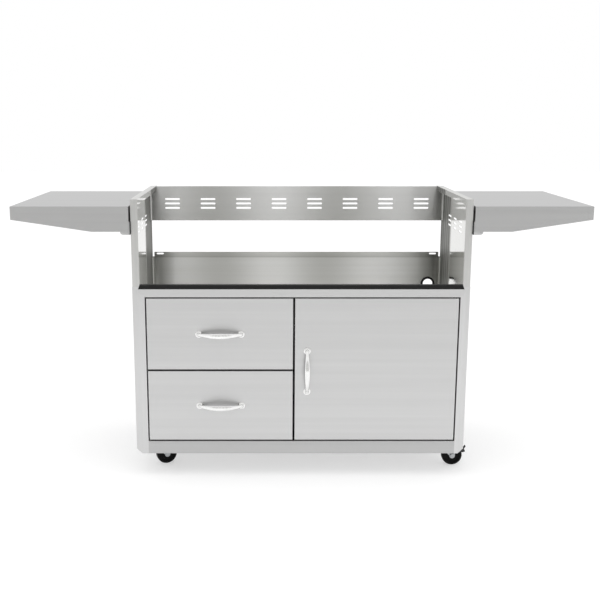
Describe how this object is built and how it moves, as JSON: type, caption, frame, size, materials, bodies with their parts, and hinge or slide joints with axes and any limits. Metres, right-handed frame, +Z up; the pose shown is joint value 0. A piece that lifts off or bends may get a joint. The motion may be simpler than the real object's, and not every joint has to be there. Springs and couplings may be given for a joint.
{
  "type": "grill cart",
  "caption": "Free-standing stainless cart for a drop-in grill: open bay between slotted cheeks, cabinet with drawers and a door, fold-down side shelves, swivel casters.",
  "frame": {"origin": "on the floor, under the middle of the cart's overall box", "axes": "+X to the right seen from the front, along both side shelves; +Y to the rear; +Z up"},
  "size_m": [1.741, 0.545, 0.878],
  "materials": {
    "brushed_stainless": "brushed, satin",
    "polished_steel": "polished",
    "zinc_plated_steel": "zinc plated, semi-gloss",
    "black_rubber": "matt",
    "black_nylon": "matt",
    "caster_tread": "satin"
  },
  "bodies": {
    "cart": {"left_cheek": "brushed_stainless", "right_cheek": "brushed_stainless", "upper_back_panel": "brushed_stainless", "lower_back_panel": "brushed_stainless", "hose_grommet": "black_rubber", "bay_edge_trim": "black_rubber", "bay_tray": "brushed_stainless", "top_rail": "brushed_stainless", "bottom_rail": "brushed_stainless", "left_side_panel": "brushed_stainless", "right_side_panel": "brushed_stainless", "cabinet_floor": "brushed_stainless", "centre_divider": "brushed_stainless", "drawer_liner": "brushed_stainless", "rear_panel": "brushed_stainless", "runner_cabinet_members": "zinc_plated_steel", "door_hinge_pins": "zinc_plated_steel", "door_catch": "black_nylon", "left_shelf_brackets": "brushed_stainless", "right_shelf_brackets": "brushed_stainless", "left_shelf_pins": "brushed_stainless", "right_shelf_pins": "brushed_stainless", "caster_plates": "zinc_plated_steel", "caster_bolts": "zinc_plated_steel"},
    "door": {"door_skin": "brushed_stainless", "door_liner": "brushed_stainless", "door_handle": "polished_steel", "door_handle_screws": "zinc_plated_steel", "door_hinge_bushes": "black_nylon", "door_strike": "zinc_plated_steel"},
    "left_shelf": {"left_shelf": "brushed_stainless"},
    "right_shelf": {"right_shelf": "brushed_stainless"},
    "upper_drawer": {"upper_drawer_front": "brushed_stainless", "upper_drawer_box": "brushed_stainless", "upper_drawer_handle": "polished_steel", "upper_drawer_handle_screws": "zinc_plated_steel", "upper_runner_drawer_members": "zinc_plated_steel"},
    "upper_runner": {"upper_runner_middle_members": "zinc_plated_steel"},
    "lower_drawer": {"lower_drawer_front": "brushed_stainless", "lower_drawer_box": "brushed_stainless", "lower_drawer_handle": "polished_steel", "lower_drawer_handle_screws": "zinc_plated_steel", "lower_runner_drawer_members": "zinc_plated_steel"},
    "lower_runner": {"lower_runner_middle_members": "zinc_plated_steel"},
    "front_left_caster": {"front_left_fork": "zinc_plated_steel", "front_left_axle": "zinc_plated_steel"},
    "front_left_wheel": {"front_left_wheel": "caster_tread"},
    "front_left_brake": {"front_left_brake_pedal": "zinc_plated_steel"},
    "front_right_caster": {"front_right_fork": "zinc_plated_steel", "front_right_axle": "zinc_plated_steel"},
    "front_right_wheel": {"front_right_wheel": "caster_tread"},
    "front_right_brake": {"front_right_brake_pedal": "zinc_plated_steel"},
    "rear_left_caster": {"rear_left_fork": "zinc_plated_steel", "rear_left_axle": "zinc_plated_steel"},
    "rear_left_wheel": {"rear_left_wheel": "caster_tread"},
    "rear_right_caster": {"rear_right_fork": "zinc_plated_steel", "rear_right_axle": "zinc_plated_steel"},
    "rear_right_wheel": {"rear_right_wheel": "caster_tread"}
  },
  "joints": [
    {"name": "upper_drawer_slide", "type": "slide", "parent": "cart", "child": "upper_drawer", "axis": [0, -1, 0], "range_m": [0, 0.4]},
    {"name": "upper_runner_slide", "type": "slide", "parent": "cart", "child": "upper_runner", "axis": [0, -1, 0], "range_m": [0, 0.2]},
    {"name": "lower_drawer_slide", "type": "slide", "parent": "cart", "child": "lower_drawer", "axis": [0, -1, 0], "range_m": [0, 0.4]},
    {"name": "lower_runner_slide", "type": "slide", "parent": "cart", "child": "lower_runner", "axis": [0, -1, 0], "range_m": [0, 0.2]},
    {"name": "door_swing", "type": "hinge", "parent": "cart", "child": "door", "pos_m": [0.4725, -0.2295, 0.34875], "axis": [0, 0, 1], "range_deg": [0, 105]},
    {"name": "left_shelf_fold", "type": "hinge", "parent": "cart", "child": "left_shelf", "pos_m": [-0.531, 0.0125, 0.795], "axis": [0, -1, 0], "range_deg": [0, 90]},
    {"name": "right_shelf_fold", "type": "hinge", "parent": "cart", "child": "right_shelf", "pos_m": [0.531, 0.0125, 0.795], "axis": [0, 1, 0], "range_deg": [0, 90]},
    {"name": "front_left_swivel", "type": "hinge", "parent": "cart", "child": "front_left_caster", "pos_m": [-0.467, -0.1325, 0.075], "axis": [0, 0, 1], "continuous": true},
    {"name": "front_left_roll", "type": "hinge", "parent": "front_left_caster", "child": "front_left_wheel", "pos_m": [-0.43594, -0.11995, 0.033], "axis": [-0.3746, 0.9272, 0], "continuous": true},
    {"name": "front_left_brake_tip", "type": "hinge", "parent": "front_left_caster", "child": "front_left_brake", "pos_m": [-0.4021, -0.10628, 0.05], "axis": [-0.3746, 0.9272, 0], "range_deg": [0, 18]},
    {"name": "front_right_swivel", "type": "hinge", "parent": "cart", "child": "front_right_caster", "pos_m": [0.467, -0.1325, 0.075], "axis": [0, 0, 1], "continuous": true},
    {"name": "front_right_roll", "type": "hinge", "parent": "front_right_caster", "child": "front_right_wheel", "pos_m": [0.5005, -0.1325, 0.033], "axis": [0, 1, 0], "continuous": true},
    {"name": "front_right_brake_tip", "type": "hinge", "parent": "front_right_caster", "child": "front_right_brake", "pos_m": [0.537, -0.1325, 0.05], "axis": [0, 1, 0], "range_deg": [0, 18]},
    {"name": "rear_left_swivel", "type": "hinge", "parent": "cart", "child": "rear_left_caster", "pos_m": [-0.467, 0.1575, 0.075], "axis": [0, 0, 1], "continuous": true},
    {"name": "rear_left_roll", "type": "hinge", "parent": "rear_left_caster", "child": "rear_left_wheel", "pos_m": [-0.4335, 0.1575, 0.033], "axis": [0, 1, 0], "continuous": true},
    {"name": "rear_right_swivel", "type": "hinge", "parent": "cart", "child": "rear_right_caster", "pos_m": [0.467, 0.1575, 0.075], "axis": [0, 0, 1], "continuous": true},
    {"name": "rear_right_roll", "type": "hinge", "parent": "rear_right_caster", "child": "rear_right_wheel", "pos_m": [0.5005, 0.1575, 0.033], "axis": [0, 1, 0], "continuous": true}
  ],
  "couplings": [
    {"joint": "upper_runner_slide", "follows": "upper_drawer_slide", "ratio": 0.5},
    {"joint": "lower_runner_slide", "follows": "lower_drawer_slide", "ratio": 0.5}
  ]
}
